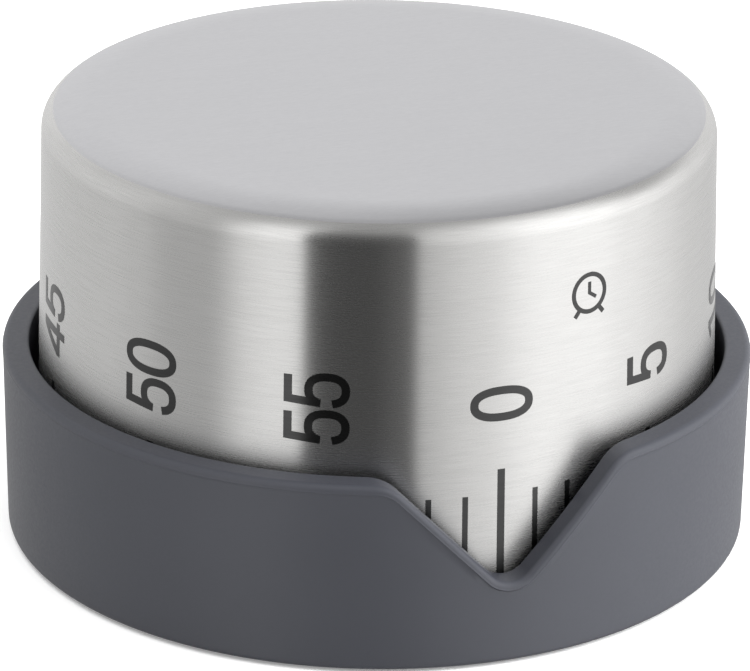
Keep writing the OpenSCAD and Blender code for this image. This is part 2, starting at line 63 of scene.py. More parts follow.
# Shape of the cap, as in the CAD. Its top runs out to the rounded edge in a gentle crown; the
# rounding of its lower lip is added here.
CAP_LOW, CAP_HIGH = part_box("steel_cap")
CAP_BOTTOM = CAP_LOW.z
CAP_TOP = CAP_HIGH.z
CAP_FOOT_R = CAP_HIGH.x
CAP_DRAFT = math.radians(1.5)
CAP_EDGE_R = 2.2 * MM
CROWN_R = 15 * MM
CROWN_SLOPE = math.radians(14)
CAP_T = 0.6 * MM
CAP_LIP_R = 0.2 * MM
CAP_STEPS = 384
EDGE_STEPS = 20
CROWN_STEPS = 12
# Rows of faces that have the top's finish: the crown's, and the four of the edge next to it
FINISH_ROWS = CROWN_STEPS + 4
CAP_TOP_R = CAP_FOOT_R - (CAP_TOP - CAP_BOTTOM) * math.tan(CAP_DRAFT)

# Shape of the base ring and pads, as in the CAD. The roundings of the notch's edges, of the
# foot's inner edge and of the pads are added here, and so is the parting line.
BASE_LOW, BASE_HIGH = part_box("base_housing")
BASE_R = BASE_HIGH.x
FOOT_Z = BASE_LOW.z
RIM_Z = 18.45 * MM
RIM_INNER_R = BASE_R - 2.5 * MM
FOOT_INSET = 0.2 * MM
OUTER_EDGE_R = 0.6 * MM
INNER_EDGE_R = 0.3 * MM
# How far the mould's parting line stands out, and how far below the outer edge
PARTING_LINE = [
    (0.01 * MM, 0.03 * MM), (0.035 * MM, 0.07 * MM), (0.035 * MM, 0.11 * MM), (0, 0.16 * MM)
]
SKIRT_R = BASE_R - 2.4 * MM
FLOOR_Z = 1.3 * MM
FLOOR_TOP_Z = 3.3 * MM
NOTCH_APEX_Z = 7.1 * MM
NOTCH_SLOPE = math.radians(46)
NOTCH_BOTTOM_R = 2.5 * MM
NOTCH_CORNER_R = 3.6 * MM
# Angle from the notch's middle beyond which the ring's sections are radial
RADIAL_FROM = math.radians(28)
RING_STEPS = 300
BOSS_AT = 26.5 * MM
BOSS_ANGLES = [math.radians(a) for a in (37, 155, 273)]
BOSS_R = 3.2 * MM
BOSS_TOP_Z = 14 * MM
SCREW_HOLE_R = 1.4 * MM
SCREW_RECESS_R = 2.6 * MM
SCREW_SEAT_Z = 4.5 * MM
POST_R = 4 * MM
POST_TOP_Z = 9.3 * MM
POST_HOLE_R = 1.25 * MM
HOLE_STEPS = 48
PAD_AT = 25 * MM
PAD_ANGLES = [math.radians(a) for a in (96, 214, 332)]
PAD_R = 4 * MM
PAD_EDGE_R = 0.4 * MM
PAD_STEPS = 64

# The printed scale
PRINT_LIFT = 0.02 * MM
PRINT_DEPTH = 0.05 * MM
TICK_BOTTOM_Z = 7.3 * MM
# Width and top of the ticks
MINUTE_TICK = (0.52 * MM, 15.62 * MM)
FIVE_TICK = (0.7 * MM, 17.95 * MM)
NUMERAL_Z = 24.25 * MM
# Sizes of the numbers, in millimetres
DIGIT_PITCH = 3.5
STROKE = 0.76
# The small clock face, above and between the 0 and the 5, and its sizes in millimetres
MARK_Z = 33.15 * MM
MARK_ANGLE = math.radians(16)
MARK_R = 1.75
MARK_STROKE = 0.42
HAND_STROKE = 0.34


# ---- Camera ----

def outwards(azimuth, elevation):
    """The direction from the timer that an azimuth and an elevation give, in radians."""
    return Vector((
        math.sin(azimuth) * math.cos(elevation),
        -math.cos(azimuth) * math.cos(elevation),
        math.sin(elevation),
    ))


def make_camera():
    back = outwards(CAMERA_AZIMUTH, CAMERA_ELEVATION)
    data = bpy.data.cameras.new("camera")
    data.lens = LENS
    data.sensor_width = SENSOR
    data.clip_start = 0.01
    data.clip_end = 20
    camera = bpy.data.objects.new("camera", data)
    bpy.context.scene.collection.objects.link(camera)
    camera.rotation_mode = "QUATERNION"
    level = (-back).to_track_quat("-Z", "Y")
    camera.rotation_quaternion = level @ Matrix.Rotation(CAMERA_ROLL, 3, "Z").to_quaternion()
    camera.location = CAMERA_TARGET + back * CAMERA_DISTANCE
    bpy.context.scene.camera = camera


# ---- Mesh helpers ----

def shares(steps):
    """From 0 to 1 in equal steps."""
    return [i / steps for i in range(steps + 1)]


def quarter(steps):
    """Angles from 0 to a right angle in equal steps."""
    return [math.pi / 2 * share for share in shares(steps)]


def add_object(name, bm, materials, sharp=35):
    """A piece from a bmesh, shaded smooth except at its edges."""
    bmesh.ops.recalc_face_normals(bm, faces=bm.faces)
    mesh = bpy.data.meshes.new(name)
    bm.to_mesh(mesh)
    bm.free()
    for material in materials:
        mesh.materials.append(material)
    mesh.shade_smooth()
    mesh.set_sharp_from_angle(angle=math.radians(sharp))
    obj = bpy.data.objects.new(name, mesh)
    bpy.context.scene.collection.objects.link(obj)
    return obj


def loft(bm, rows, closed=True, material=0):
    """Quads between rows of vertices; each row is a loop if closed."""
    for a, b in zip(rows, rows[1:]):
        count = len(a)
        for i in range(count if closed else count - 1):
            j = (i + 1) % count
            bm.faces.new((a[i], a[j], b[j], b[i])).material_index = material


def circle(bm, r, z, steps, centre=(0, 0)):
    return [
        bm.verts.new((
            centre[0] + r * math.cos(i * math.tau / steps),
            centre[1] + r * math.sin(i * math.tau / steps),
            z,
        ))
        for i in range(steps)
    ]


def close_loop(bm, loop, centre, material=0):
    """A fan of triangles from a loop to its middle."""
    middle = bm.verts.new(centre)
    for i, v in enumerate(loop):
        bm.faces.new((v, loop[(i + 1) % len(loop)], middle)).material_index = material


def fill_between(bm, loops):
    """A flat sheet bounded by an outer loop, with holes inside the others."""
    edges = []
    for loop in loops:
        for i, v in enumerate(loop):
            w = loop[(i + 1) % len(loop)]
            edges.append(bm.edges.get((v, w)) or bm.edges.new((v, w)))
    bmesh.ops.triangle_fill(bm, use_beauty=True, use_dissolve=False, edges=edges)


def arc_points(centre, r, start, end, steps):
    """Points (r, z) along an arc; the angles are in radians, 0 pointing outwards."""
    angles = [start + (end - start) * share for share in shares(steps)]
    return [(centre[0] + r * math.cos(a), centre[1] + r * math.sin(a)) for a in angles]


def polar(r, angle):
    return (r * math.cos(angle), r * math.sin(angle))


# ---- Dial cap ----

def cap_radius(z):
    return CAP_TOP_R + (CAP_TOP - z) * math.tan(CAP_DRAFT)


def cap_profile(inset):
    """(r, z) from just above the lower edge to the top face, moved inwards by inset."""
    lean = inset / math.cos(CAP_DRAFT)
    reach = CROWN_R - CAP_EDGE_R
    join = math.pi / 2 - CROWN_SLOPE
    edge_z = CAP_TOP - CAP_EDGE_R - reach * (1 - math.sin(join))
    centre = (cap_radius(edge_z) - CAP_EDGE_R / math.cos(CAP_DRAFT), edge_z)
    crown_centre = (centre[0] - reach * math.cos(join), centre[1] - reach * math.sin(join))
    low = CAP_BOTTOM + CAP_LIP_R
    high = centre[1] - 0.1 * MM
    heights = [low + (high - low) * share for share in shares(12)]
    side = [(cap_radius(z) - lean, z) for z in heights]
    edge = arc_points(centre, CAP_EDGE_R - inset, CAP_DRAFT, join, EDGE_STEPS)
    crown = arc_points(crown_centre, CROWN_R - inset, join, math.pi / 2, CROWN_STEPS)
    return side, edge + crown[1:]


def make_cap(side_material, top_material):
    """The hollow cap, with the side's material outside and in and another on its top."""
    bm = bmesh.new()
    side, edge = cap_profile(0)
    inner_side, inner_edge = cap_profile(CAP_T)
    outer = [circle(bm, r, z, CAP_STEPS) for r, z in side + edge]
    loft(bm, outer[:-FINISH_ROWS])
    loft(bm, outer[-FINISH_ROWS - 1:], material=1)
    flat_r = edge[-1][0]
    flat = [flat_r - 0.15 * MM] + [flat_r * share for share in (0.75, 0.5, 0.25, 0.08)]
    top = [outer[-1]] + [circle(bm, r, CAP_TOP, CAP_STEPS) for r in flat]
    loft(bm, top, material=1)
    close_loop(bm, top[-1], (0, 0, CAP_TOP), material=1)
    inner = [circle(bm, r, z, CAP_STEPS) for r, z in inner_side + inner_edge]
    loft(bm, inner)
    close_loop(bm, inner[-1], (0, 0, CAP_TOP - CAP_T))
    lip = arc_points(
        (side[0][0] - CAP_LIP_R, CAP_BOTTOM + CAP_LIP_R), CAP_LIP_R, 0, -math.pi / 2, 5
    )[1:]
    lower = [outer[0]] + [circle(bm, r, z, CAP_STEPS) for r, z in lip] + [inner[0]]
    loft(bm, lower)
    cap = add_object("dial_cap", bm, [side_material, top_material])
    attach(cap, "dial")
    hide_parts("steel_cap")


# ---- Base ring ----

def notch_half():
    """(x, z, slope) along the notch's right half, from its bottom to the rim."""
    s = NOTCH_SLOPE
    bottom_z = NOTCH_APEX_Z + NOTCH_BOTTOM_R / math.cos(s)
    corner_x = (RIM_Z - NOTCH_APEX_Z) / math.tan(s) + NOTCH_CORNER_R * math.tan(s / 2)
    corner_z = RIM_Z - NOTCH_CORNER_R
    points = []
    for share in shares(12):
        t = s * share
        points.append((NOTCH_BOTTOM_R * math.sin(t), bottom_z - NOTCH_BOTTOM_R * math.cos(t), t))
    start = points[-1]
    end = (corner_x - NOTCH_CORNER_R * math.sin(s), corner_z + NOTCH_CORNER_R * math.cos(s))
    for share in shares(16)[1:-1]:
        points.append((
            start[0] + (end[0] - start[0]) * share,
            start[1] + (end[1] - start[1]) * share,
            s,
        ))
    for share in shares(14):
        t = s * (1 - share)
        points.append((
            corner_x - NOTCH_CORNER_R * math.sin(t),
            corner_z + NOTCH_CORNER_R * math.cos(t),
            t,
        ))
    return points


class Station:
    """One place along the ring's upper edge, at which its section is drawn."""

    def __init__(self, x=None, z=RIM_Z, slope=0.0, outer_angle=0.0, inner_angle=0.0):
        self.x = x
        self.z = z
        self.slope = slope
        self.outer_angle = outer_angle
        self.inner_angle = inner_angle
        # How far below the edge the walls turn from the notch's slope to upright
        self.wall_drop = 0.0

    def point(self, r, below=0.0, z=None):
        """The point at radius r, this far below the edge or at height z."""
        drop = below if z is None else self.wall_drop
        if z is None:
            z = self.z - math.cos(self.slope) * below
        if self.x is not None:
            x = self.x + math.sin(self.slope) * drop
            return (x, -math.sqrt(r * r - x * x), z)
        share = (r - RIM_INNER_R) / (BASE_R - RIM_INNER_R)
        angle = self.inner_angle + (self.outer_angle - self.inner_angle) * share
        return (r * math.sin(angle), -r * math.cos(angle), z)


def ring_stations():
    """The stations, from the notch's left end through it and once round the rim."""
    half = notch_half()
    left = [Station(-x, z, -slope) for x, z, slope in reversed(half[1:])]
    right = [Station(x, z, slope) for x, z, slope in half]
    edge_x = half[-1][0]
    outer = math.asin(edge_x / BASE_R)
    inner = math.asin(edge_x / RIM_INNER_R)
    blend = [
        (outer + (RADIAL_FROM - outer) * share, inner + (RADIAL_FROM - inner) * share)
        for share in shares(5)[1:]
    ]
    rim = [Station(outer_angle=a, inner_angle=b) for a, b in blend]
    for share in shares(RING_STEPS)[1:-1]:
        angle = RADIAL_FROM + (math.tau - 2 * RADIAL_FROM) * share
        rim.append(Station(outer_angle=angle, inner_angle=angle))
    rim += [Station(outer_angle=-a, inner_angle=-b) for a, b in reversed(blend)]
    return left + right + rim


def outer_radius(z):
    """The ring's outer face, which is a little narrower at its foot."""
    low, high = FOOT_Z + OUTER_EDGE_R, RIM_Z - OUTER_EDGE_R
    share = min(max((z - low) / (high - low), 0), 1)
    return BASE_R - FOOT_INSET * (1 - share)


def ring_section(station):
    """Points from the floor's upper face, over the rim and down to the floor's underside."""
    points = []
    station.wall_drop = INNER_EDGE_R
    top = station.z - math.cos(station.slope) * INNER_EDGE_R
    for share in (0, 0.35, 0.7, 0.97):
        points.append(station.point(RIM_INNER_R, z=FLOOR_TOP_Z + (top - FLOOR_TOP_Z) * share))
    for a in quarter(5):
        points.append(station.point(
            RIM_INNER_R + INNER_EDGE_R * (1 - math.cos(a)), INNER_EDGE_R * (1 - math.sin(a))
        ))
    flat_from = RIM_INNER_R + INNER_EDGE_R
    flat_to = BASE_R - OUTER_EDGE_R
    for share in (0.06, 0.5, 0.94):
        points.append(station.point(flat_from + (flat_to - flat_from) * share))
    for a in reversed(quarter(10)):
        points.append(station.point(
            BASE_R - OUTER_EDGE_R * (1 - math.cos(a)), OUTER_EDGE_R * (1 - math.sin(a))
        ))
    for stand, below in PARTING_LINE:
        station.wall_drop = OUTER_EDGE_R + below
        points.append(station.point(BASE_R + stand, station.wall_drop))
    top = station.z - math.cos(station.slope) * station.wall_drop
    foot = FOOT_Z + OUTER_EDGE_R
    for share in (0.985, 0.9, 0.75, 0.6, 0.45, 0.3, 0.15, 0.02):
        z = foot + (top - foot) * share
        points.append(station.point(outer_radius(z), z=z))
    for a in quarter(8):
        r = BASE_R - FOOT_INSET - OUTER_EDGE_R * (1 - math.cos(a))
        points.append(station.point(r, z=foot - OUTER_EDGE_R * math.sin(a)))
    for a in quarter(3):
        points.append(station.point(
            SKIRT_R + INNER_EDGE_R * (1 - math.sin(a)), z=FOOT_Z + INNER_EDGE_R * (1 - math.cos(a))
        ))
    points.append(station.point(SKIRT_R, z=FLOOR_Z))
    return points


def make_housing(material):
    bm = bmesh.new()
    sections = [
        [bm.verts.new(p) for p in ring_section(station)] for station in ring_stations()
    ]
    rows = [list(row) for row in zip(*sections)]
    loft(bm, rows)
    boss_feet, recess_rims = [], []
    for angle in BOSS_ANGLES:
        at = polar(BOSS_AT, angle)
        boss = [
            circle(bm, r, z, HOLE_STEPS, at)
            for r, z in ((BOSS_R, FLOOR_TOP_Z), (BOSS_R, BOSS_TOP_Z), (SCREW_HOLE_R, BOSS_TOP_Z),
                         (SCREW_HOLE_R, SCREW_SEAT_Z), (SCREW_RECESS_R, SCREW_SEAT_Z),
                         (SCREW_RECESS_R, FLOOR_Z))
        ]
        loft(bm, boss)
        boss_feet.append(boss[0])
        recess_rims.append(boss[-1])
    post = [
        circle(bm, r, z, HOLE_STEPS)
        for r, z in ((POST_R, FLOOR_TOP_Z), (POST_R, POST_TOP_Z), (POST_HOLE_R, POST_TOP_Z),
                     (POST_HOLE_R, SCREW_SEAT_Z))
    ]
    loft(bm, post)
    close_loop(bm, post[-1], (0, 0, SCREW_SEAT_Z))
    fill_between(bm, [rows[0], post[0], *boss_feet])
    fill_between(bm, [rows[-1], *recess_rims])
    housing = add_object("base_ring", bm, [material], sharp=40)
    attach(housing, "base")
    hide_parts("base_housing")


def make_pads(material):
    bm = bmesh.new()
    for angle in PAD_ANGLES:
        at = polar(PAD_AT, angle)
        edge = arc_points((PAD_R - PAD_EDGE_R, PAD_EDGE_R), PAD_EDGE_R, 0, -math.pi / 2, 6)
        profile = [(PAD_R, FLOOR_Z), (PAD_R, PAD_EDGE_R + 0.05 * MM), *edge, (PAD_R * 0.4, 0)]
        rings = [circle(bm, r, z, PAD_STEPS, at) for r, z in profile]
        loft(bm, rings)
        close_loop(bm, rings[-1], (*at, 0))
        close_loop(bm, rings[0], (*at, FLOOR_Z))
    pads = add_object("rubber_feet", bm, [material])
    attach(pads, "base")
    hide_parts("foot_pads")


# ---- Printed scale ----

def on_cap(u, z, angle, lift):
    """A point of the print: u along the circumference from the given dial angle, z up."""
    turned = angle + u / cap_radius(NUMERAL_Z)
    r = cap_radius(z) + lift
    return (r * math.sin(turned), -r * math.cos(turned), z)


def inside(point, polygon):
    """Whether a point lies in a convex polygon."""
    turns = [
        (b - a).cross(point - a) for a, b in zip(polygon, [*polygon[1:], polygon[0]])
    ]
    return min(turns) > 0 or max(turns) < 0


def add_print(bm, polygons, angle):
    """Lays flat convex polygons, in (u, z), on the cap as one thin closed sheet."""
    polygons = [[Vector(p) / MM for p in polygon] for polygon in polygons]
    coords, faces = [], []
    for polygon in polygons:
        faces.append(list(range(len(coords), len(coords) + len(polygon))))
        coords += polygon
    points, _, triangles, _, _, _ = delaunay_2d_cdt(coords, [], faces, 0, 1e-5)
    upper = [bm.verts.new(on_cap(p.x * MM, p.y * MM, angle, PRINT_LIFT)) for p in points]
    lower = [bm.verts.new(on_cap(p.x * MM, p.y * MM, angle, -PRINT_DEPTH)) for p in points]
    open_edges = {}
    for triangle in triangles:
        middle = sum((points[i] for i in triangle), Vector((0, 0))) / 3
        if not any(inside(middle, polygon) for polygon in polygons):
            continue
        bm.faces.new([upper[i] for i in triangle])
        bm.faces.new([lower[i] for i in reversed(triangle)])
        for i, j in zip(triangle, triangle[1:] + triangle[:1]):
            if (j, i) in open_edges:
                del open_edges[(j, i)]
            else:
                open_edges[(i, j)] = True
    for i, j in open_edges:
        bm.faces.new((upper[j], upper[i], lower[i], lower[j]))
    loose = [v for v in bm.verts if not v.link_faces]
    bmesh.ops.delete(bm, geom=loose, context="VERTS")


def dense(points, step=0.35):
    """The same path with no stretch longer than step."""
    path = [Vector(points[0])]
    for p in points[1:]:
        p = Vector(p)
        count = max(1, math.ceil((p - path[-1]).length / step))
        start = path[-1]
        path += [start.lerp(p, share) for share in shares(count)[1:]]
    return path


def ribbon(points, width, closed=False):
    """Triangles that cover a path with the given width, mitred at its corners."""
    path = dense([*points, points[0]] if closed else points)
    if closed:
        path = path[:-1]
    count = len(path)
    sides = []
    for i, p in enumerate(path):
        before = path[i - 1] if closed or i else None
        after = path[(i + 1) % count] if closed or i < count - 1 else None
        d1 = (p - before).normalized() if before is not None else (after - p).normalized()
        d2 = (after - p).normalized() if after is not None else d1
        middle = (d1 + d2).normalized()
        normal = Vector((-middle.y, middle.x))
        reach = width / 2 / max(0.3, middle.dot(d1))
        sides.append((p + normal * reach, p - normal * reach))
    pairs = list(zip(sides, sides[1:]))
    if closed:
        pairs.append((sides[-1], sides[0]))
    triangles = []
    for a, b in pairs:
        triangles += [[a[0], a[1], b[1]], [a[0], b[1], b[0]]]
    return triangles


def bow(centre, half_width, half_height, start, end, power=2.4, steps=28):
    """Part of a squarish ellipse, from one angle to another in degrees."""
    points = []
    for share in shares(steps):
        a = math.radians(start + (end - start) * share)
        c, s = math.cos(a), math.sin(a)
        points.append((
            centre[0] + half_width * math.copysign(abs(c) ** (2 / power), c),
            centre[1] + half_height * math.copysign(abs(s) ** (2 / power), s),
        ))
    return points


def digit(character):
    """Polygons of a digit from 0 to 5, 5.9 high, in millimetres about its middle."""
    w = STROKE
    if character == "0":
        return ribbon(bow((0, 0), 1.27, 2.61, 0, 360, steps=56)[:-1], w, closed=True)
    if character == "1":
        return (ribbon([(0.45, -2.95), (0.45, 2.95)], w)
                + ribbon([(0.3, 2.62), (-1.0, 1.75)], w * 0.9))
    if character == "2":
        bend = bow((0, 1.3), 1.25, 1.31, 175, -35)
        return (ribbon([*bend, (-1.1, -2.3)], w) + ribbon([(-1.5, -2.61), (1.5, -2.61)], w))
    if character == "3":
        return (ribbon(bow((-0.05, 1.43), 1.12, 1.18, 168, -95), w)
                + ribbon(bow((0, -1.18), 1.28, 1.43, 95, -168), w)
                + ribbon([(-0.55, 0.25), (0.1, 0.25)], w))
    if character == "4":
        return (ribbon([(0.62, -2.95), (0.62, 2.95)], w)
                + ribbon([(0.45, 2.75), (-1.32, -1.3)], w)
                + ribbon([(-1.62, -1.4), (1.6, -1.4)], w))
    return (ribbon([(1.3, 2.62), (-0.97, 2.62), (-1.22, -0.35)], w)
            + ribbon(bow((0, -0.93), 1.27, 1.68, 152, -168), w))


def numeral(value):
    """Polygons of a number in (u, z): it reads upwards, its tops to the left."""
    text = str(value)
    polygons = []
    for i, character in enumerate(text):
        centre = (i - (len(text) - 1) / 2) * DIGIT_PITCH
        for polygon in digit(character):
            polygons.append([(-p[1] * MM, NUMERAL_Z + (p[0] + centre) * MM) for p in polygon])
    return polygons


def make_print(material):
    """A tick for each minute, a number for each fifth, and the clock mark."""
    ticks, numbers, mark = bmesh.new(), bmesh.new(), bmesh.new()
    for minute in range(60):
        numbered = minute % 5 == 0
        width, top = FIVE_TICK if numbered else MINUTE_TICK
        half = width / 2
        corners = [(-half, TICK_BOTTOM_Z), (half, TICK_BOTTOM_Z), (half, top), (-half, top)]
        angle = math.radians(6 * minute)
        add_print(ticks, [corners], angle)
        if numbered:
            add_print(numbers, numeral(minute), angle)
    round_dial = bow((0, 0), MARK_R, MARK_R, 0, 360, power=2, steps=48)[:-1]
    clock = ribbon(round_dial, MARK_STROKE, closed=True)
    clock += ribbon([(0, 1.05), (0, 0), (0.75, -0.5)], HAND_STROKE)
    for side in (-1, 1):
        clock += ribbon([(side * 1.15, -1.55), (side * 1.6, -2.1)], MARK_STROKE)
    polygons = [[(p[0] * MM, MARK_Z + p[1] * MM) for p in polygon] for polygon in clock]
    add_print(mark, polygons, MARK_ANGLE)
    for name, bm in (("scale_ticks", ticks), ("scale_numbers", numbers), ("clock_mark", mark)):
        piece = add_object(name, bm, [material])
        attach(piece, "dial")


# ---- Materials ----

# Scale of the brushed steel's broader streaks against the fine ones, and their share
BROAD_SCALE = 0.22
BROAD_SHARE = 0.25
# How far roughness varies either way
PLASTIC_SPREAD = 0.05
METAL_SPREAD = 0.07
# Scales of broad unevenness of tone, in cycles per millimetre
PLASTIC_CLOUD = 0.06
METAL_STAIN = 0.12
STUDIO_CLOUD = 0.02


class Nodes:
    """Shorthand for building a node tree."""

    def __init__(self, tree):
        self.tree = tree

    def add(self, kind, **settings):
        node = self.tree.nodes.new(kind)
        for name, value in settings.items():
            setattr(node, name, value)
        return node

    def link(self, source, target):
        self.tree.links.new(source, target)

    def set(self, node, **values):
        for name, value in values.items():
            node.inputs[name.replace("_", " ")].default_value = value

    def stretched_noise(self, scale, detail=2.0, roughness=0.5):
        """Noise in object space, with its own scale in cycles per millimetre on each axis."""
        where = self.add("ShaderNodeTexCoord")
        mapping = self.add("ShaderNodeMapping")
        mapping.inputs["Scale"].default_value = [s / MM for s in scale]
        noise = self.add("ShaderNodeTexNoise")
        self.set(noise, Scale=1.0, Detail=detail, Roughness=roughness)
        self.link(where.outputs["Object"], mapping.inputs["Vector"])
        self.link(mapping.outputs["Vector"], noise.inputs["Vector"])
        return noise.outputs["Fac"]

    def remap(self, value, low, high, from_low=0.3, from_high=0.7):
        """From low to high over the range of values that noise mostly has, or the one given."""
        node = self.add("ShaderNodeMapRange")
        self.link(value, node.inputs["Value"])
        self.set(node, From_Min=from_low, From_Max=from_high, To_Min=low, To_Max=high)
        return node.outputs["Result"]

    def math(self, operation, a, b=0):
        node = self.add("ShaderNodeMath", operation=operation)
        for i, value in enumerate((a, b)):
            if isinstance(value, (int, float)):
                node.inputs[i].default_value = value
            else:
                self.link(value, node.inputs[i])
        return node.outputs["Value"]

    def mix(self, factor, a, b):
        node = self.add("ShaderNodeMix", data_type="RGBA")
        self.link(factor, node.inputs["Factor"])
        node.inputs["A"].default_value = (*a, 1)
        node.inputs["B"].default_value = (*b, 1)
        return node.outputs["Result"]

    def bump(self, height, strength, distance):
        """Small unevenness; its distance is in millimetres."""
        node = self.add("ShaderNodeBump")
        self.link(height, node.inputs["Height"])
        self.set(node, Strength=strength, Distance=distance * MM)
        return node.outputs["Normal"]


def new_material(name):
    material = bpy.data.materials.new(name)
    material.use_nodes = True
    nodes = Nodes(material.node_tree)
    shader = material.node_tree.nodes["Principled BSDF"]
    return material, nodes, shader


def brushed_steel(name, light, dark, grain, roughness, bump=0.03, anisotropic=0.0):
    """Steel with a brushed grain; the grain's scales are in cycles per millimetre."""
    material, nodes, shader = new_material(name)
    fine = nodes.stretched_noise(grain, detail=3)
    broad = nodes.stretched_noise([g * BROAD_SCALE for g in grain], detail=2)
    streaks = nodes.math("ADD", nodes.math("MULTIPLY", fine, 1 - BROAD_SHARE),
                         nodes.math("MULTIPLY", broad, BROAD_SHARE))
    nodes.link(nodes.mix(nodes.remap(streaks, 0, 1), dark, light), shader.inputs["Base Color"])
    low, high = roughness
    nodes.link(nodes.remap(streaks, high, low), shader.inputs["Roughness"])
    nodes.link(nodes.bump(fine, strength=bump, distance=0.004), shader.inputs["Normal"])
    shader.inputs["Metallic"].default_value = 1
    if anisotropic:
        tangent = nodes.add("ShaderNodeTangent", direction_type="RADIAL", axis="Z")
        nodes.link(tangent.outputs["Tangent"], shader.inputs["Tangent"])
        shader.inputs["Anisotropic"].default_value = anisotropic
        shader.inputs["Anisotropic Rotation"].default_value = 0.25
    return material


def moulded_plastic(name, light, dark, roughness, grain=3.0, bump=0.004):
    """Plastic or rubber with a fine eroded texture and slight unevenness of tone."""
    material, nodes, shader = new_material(name)
    texture = nodes.stretched_noise([grain] * 3, detail=4, roughness=0.6)
    cloud = nodes.stretched_noise([PLASTIC_CLOUD] * 3, detail=2)
    nodes.link(nodes.mix(nodes.remap(cloud, 0, 1), dark, light), shader.inputs["Base Color"])
    nodes.link(nodes.remap(texture, roughness - PLASTIC_SPREAD, roughness + PLASTIC_SPREAD),
               shader.inputs["Roughness"])
    nodes.link(nodes.bump(texture, strength=0.35, distance=bump), shader.inputs["Normal"])
    return material


def worked_metal(name, light, dark, roughness, grain=(0.6, 0.6, 6.0)):
    """Metal with fine tool marks and faint staining."""
    material, nodes, shader = new_material(name)
    marks = nodes.stretched_noise(grain, detail=3)
    stain = nodes.stretched_noise([METAL_STAIN] * 3, detail=3)
    nodes.link(nodes.mix(nodes.remap(stain, 0, 1), dark, light), shader.inputs["Base Color"])
    nodes.link(nodes.remap(marks, roughness - METAL_SPREAD, roughness + METAL_SPREAD),
               shader.inputs["Roughness"])
    nodes.link(nodes.bump(marks, strength=0.15, distance=0.003), shader.inputs["Normal"])
    shader.inputs["Metallic"].default_value = 1
    return material


def make_materials():
    grain = (0.35, 0.35, 7.5)
    return {
        "side": brushed_steel(
            "brushed_side", (0.65, 0.645, 0.635), (0.605, 0.6, 0.59), grain,
            roughness=(0.25, 0.29), anisotropic=1.0),
        "top": brushed_steel(
            "brushed_top", (0.64, 0.639, 0.657), (0.595, 0.594, 0.612), (1.2, 9.0, 9.0),
            roughness=(0.34, 0.38), bump=0.06),
        "print": brushed_steel(
            "etched_print", (0.075, 0.075, 0.075), (0.065, 0.065, 0.065), grain,
            roughness=(0.22, 0.26), anisotropic=1.0),
        "housing_plastic": moulded_plastic(
            "anthracite_plastic", (0.04, 0.042, 0.052), (0.037, 0.039, 0.0485), 0.45),
        "pad_rubber": moulded_plastic(
            "rubber", (0.022, 0.022, 0.023), (0.016, 0.016, 0.017), 0.8, grain=5, bump=0.01),
        "carrier_plastic": moulded_plastic(
            "white_plastic", (0.78, 0.77, 0.74), (0.72, 0.71, 0.68), 0.42),
        "plate_steel": worked_metal(
            "zinc_plate", (0.6, 0.6, 0.57), (0.5, 0.5, 0.48), 0.38, grain=(0.3, 5, 5)),
        "screw_steel": worked_metal(
            "plated_screw", (0.62, 0.62, 0.62), (0.5, 0.5, 0.51), 0.3),
        "wheel_brass": worked_metal(
            "cut_brass", (0.62, 0.45, 0.16), (0.5, 0.34, 0.12), 0.32),
        "turned_brass": worked_metal(
            "turned_brass", (0.64, 0.47, 0.18), (0.59, 0.42, 0.16), 0.28),
        "arbor_steel": worked_metal(
            "ground_steel", (0.55, 0.56, 0.58), (0.42, 0.43, 0.45), 0.24),
        "spring_steel": worked_metal(
            "tempered_steel", (0.16, 0.19, 0.27), (0.1, 0.11, 0.15), 0.3, grain=(0.5, 0.5, 8)),
        "bell_metal": worked_metal(
            "bell_metal", (0.56, 0.53, 0.47), (0.44, 0.41, 0.36), 0.22),
        "fibre": moulded_plastic(
            "fibre_washer", (0.24, 0.06, 0.03), (0.17, 0.04, 0.02), 0.7),
    }


def dress_nodes(materials):
    """Gives every CAD node that stays its slot's material."""
    for row in frame["record"]["subparts"]:
        obj = frame["nodes"][row["node"]]
        if row["material_slot"] in materials and not obj.hide_render:
            for slot in obj.material_slots:
                slot.material = materials[row["material_slot"]]


# ---- Light and floor ----

# The light tent, by azimuth from the camera's side, positive to its right. Each band is, in
# degrees, low, softness there, high and softness there, and then the light that it adds.
TENT = 0.58
TENT_BANDS = [
    (-86, 1.5, -80, 1.5, 0.05),
    (-50, 8, -20, 1, 0.5),
    (-40, 6, -20, 1, 0.12),
    (10, 1, 140, 14, 0.15),
    (22, 10, 118, 12, 0.26),
    (38, 14, 100, 10, 0.24),
    (48, 12, 84, 8, 0.3),
]
# Light added on both sides behind an azimuth: that azimuth, its softness and the light
SIDES_FROM = (85, 15, 0.19)
# How the light climbs: an elevation and its share of the light, then another
TENT_CLIMB = (-62, 0.35, -8, 1.16)
# The dark gap that the camera looks through: azimuth, elevation and what is left of the light,
# and the faint glow along its right side
DARK_GAP = ((-24.2, 0.6, 13.2, 1.2), (-90, 1, 46, 14), 0.077)
GAP_GLOW = ((3, 5, 13.2, 1.2), 0.05)
# Parts of the roof, each laid over the ones before: the elevation and softness from which it
# is seen, its azimuths and its light
ROOFS = [
    ((26, 8), (100, 12, 200, 1), 0.5),
    ((30, 10), (-200, 1, -105, 12), 0.78),
    ((58, 20), (-200, 1, 200, 1), 0.49),
]
# The wall that the cap's top mirrors: the azimuth and softness behind which it stands, its
# elevations and its light
BACK_WALL = ((152, 8), (-2, 6, 38, 6), 0.955)
# Half the studio floor's width, in metres, and the faint glow that keeps its shadows pale
STUDIO_HALF = 1.2
STUDIO_GLOW = 0.2


